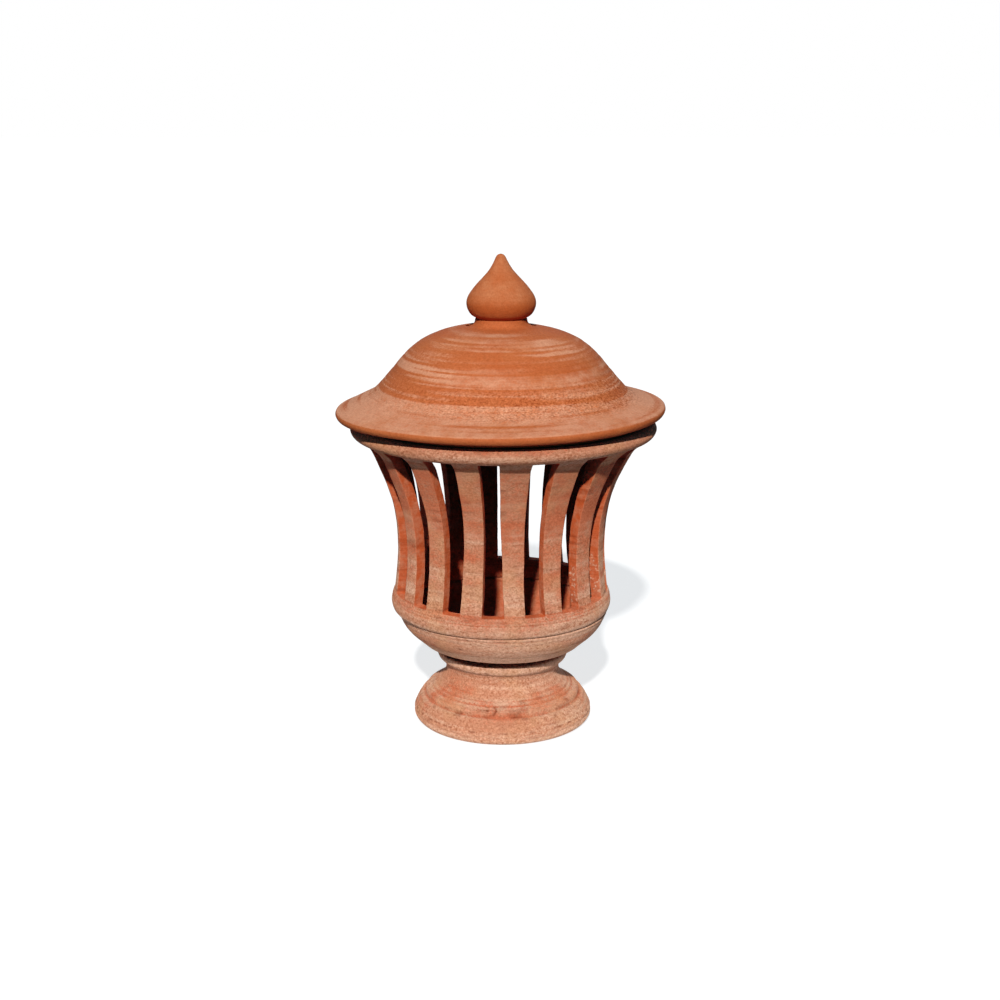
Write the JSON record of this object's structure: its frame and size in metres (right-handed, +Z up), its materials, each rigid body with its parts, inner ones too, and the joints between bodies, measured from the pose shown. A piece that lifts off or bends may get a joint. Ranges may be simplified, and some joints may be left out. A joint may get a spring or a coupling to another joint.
{
  "type": "terracotta garden lantern",
  "caption": "Hand-thrown terracotta garden lantern: hollow foot, bowl, wall of upright bars under a rolled rim, loose domed lid with an onion finial, tealight inside.",
  "frame": {"origin": "centre of the foot's base ring, at ground level", "axes": "+Z up along the turned axis; -Y is the front; +X to the right when looking at the front"},
  "size_m": [0.33, 0.33, 0.482],
  "materials": {
    "body_clay": "matte, granular, with a pale lime bloom",
    "lid_clay": "matte, with pale streaks along the throwing rings",
    "finial_clay": "matte, smooth",
    "tealight_metal": "satin",
    "wax": "satin wax",
    "wick_cotton": "matte"
  },
  "bodies": {
    "lantern_body": {"foot": "body_clay", "bowl": "body_clay", "slotted_wall": "body_clay"},
    "lid_assembly": {"lid": "lid_clay", "finial": "finial_clay"},
    "tealight": {"tealight_cup": "tealight_metal", "wick_holder": "tealight_metal", "candle_wax": "wax", "wick": "wick_cotton"}
  },
  "joints": [
    {"name": "lid_lift", "type": "slide", "parent": "lantern_body", "child": "lid_assembly", "axis": [0, 0, 1], "range_m": [0, 0.2]},
    {"name": "candle_lift", "type": "slide", "parent": "lantern_body", "child": "tealight", "axis": [0, 0, 1], "range_m": [0, 0.15]}
  ]
}
